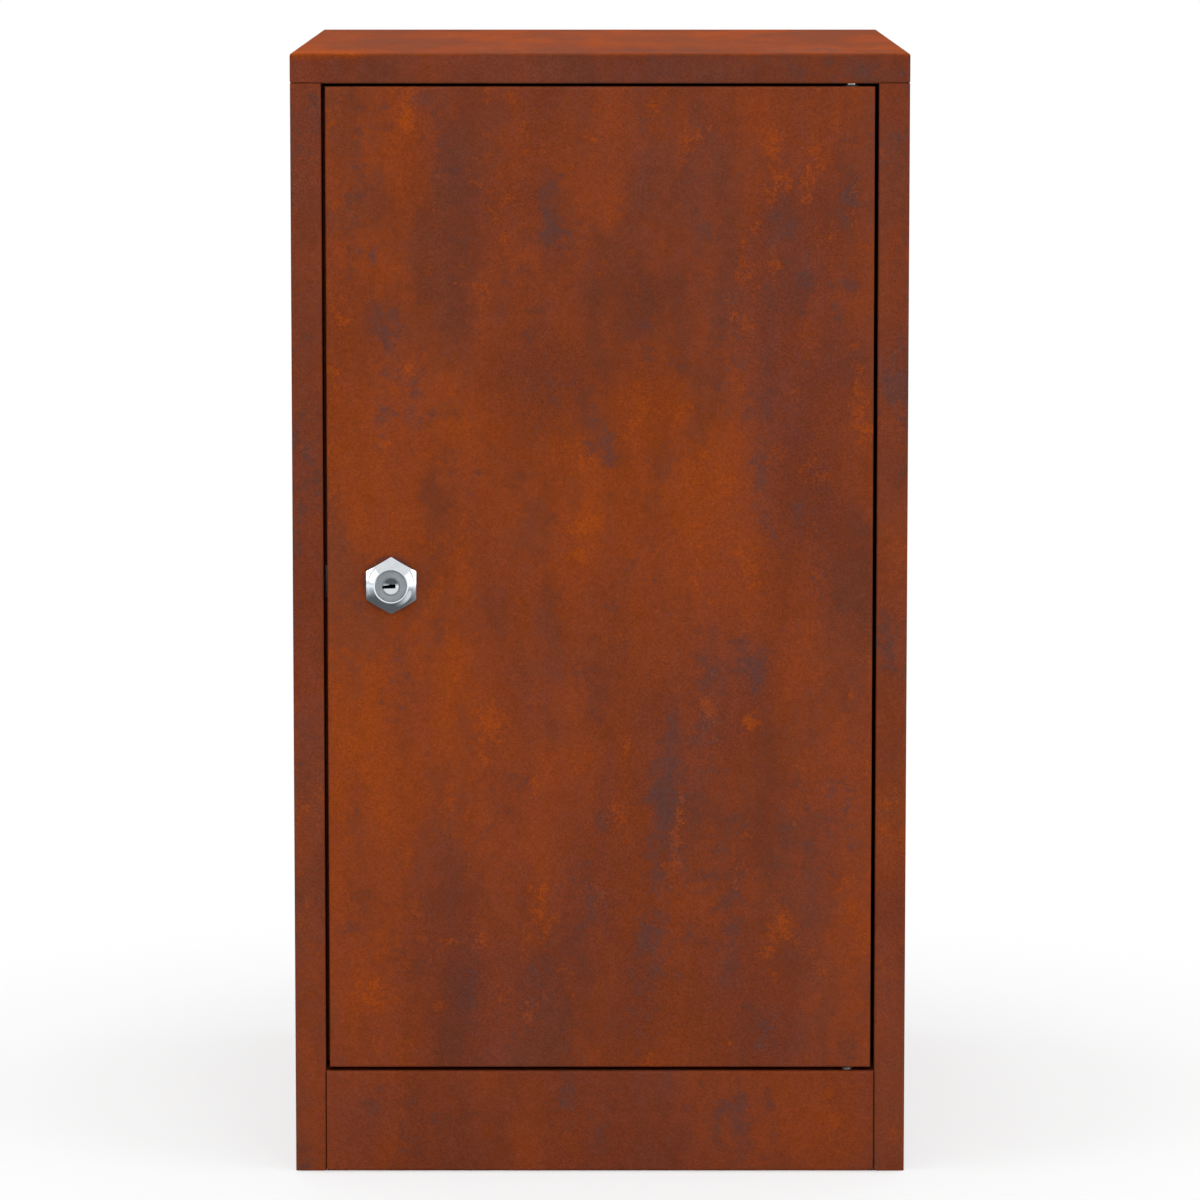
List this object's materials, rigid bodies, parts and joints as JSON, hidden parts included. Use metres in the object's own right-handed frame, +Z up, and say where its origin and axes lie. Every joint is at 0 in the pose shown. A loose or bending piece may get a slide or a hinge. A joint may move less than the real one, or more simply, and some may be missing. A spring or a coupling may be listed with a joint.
{
  "type": "rusty parcel mailbox",
  "caption": "Free-standing parcel mailbox of folded weathering steel with one hinged door, a plinth, a lid and a cam lock with a hexagonal collar.",
  "frame": {"origin": "on the ground, under the middle of the box round the whole object", "axes": "+Z up, -Y out of the front through the door, +X to the right seen from the front"},
  "size_m": [0.38, 0.4592, 0.697],
  "materials": {
    "rusted_steel": "weathering steel with a dense matt rust layer, blotched orange-brown, red-brown and purple-grey",
    "chrome": "bright chrome plate",
    "satin_nickel": "satin nickel plate",
    "plated_steel": "zinc-plated steel, slightly dulled",
    "black_nylon": "moulded black nylon",
    "black_rubber": "moulded black rubber"
  },
  "bodies": {
    "carcass": {"side_panel_left": "rusted_steel", "side_panel_right": "rusted_steel", "back_panel": "rusted_steel", "top_cap": "rusted_steel", "floor_plinth": "rusted_steel", "upper_hinge_pin": "plated_steel", "lower_hinge_pin": "plated_steel", "strike_plate": "plated_steel", "door_bumpers": "black_rubber", "back_rivets": "plated_steel", "cap_rivets": "plated_steel", "floor_rivets": "plated_steel"},
    "door": {"door_panel": "rusted_steel", "door_stiffener": "rusted_steel", "upper_hinge_bush": "black_nylon", "lower_hinge_bush": "black_nylon", "lock_collar": "chrome", "lock_barrel": "satin_nickel", "lock_washer": "plated_steel", "lock_nut": "plated_steel"},
    "lock_rotor": {"lock_plug": "chrome", "lock_cam": "plated_steel", "cam_washer": "plated_steel", "cam_screw": "plated_steel"}
  },
  "joints": [
    {"name": "door_hinge", "type": "hinge", "parent": "carcass", "child": "door", "pos_m": [0.1544, -0.2146, 0], "axis": [0, 0, 1], "range_deg": [0, 110]},
    {"name": "lock_turn", "type": "hinge", "parent": "door", "child": "lock_rotor", "pos_m": [-0.129, -0.2216, 0.369], "axis": [0, 1, 0], "range_deg": [0, 90]}
  ]
}
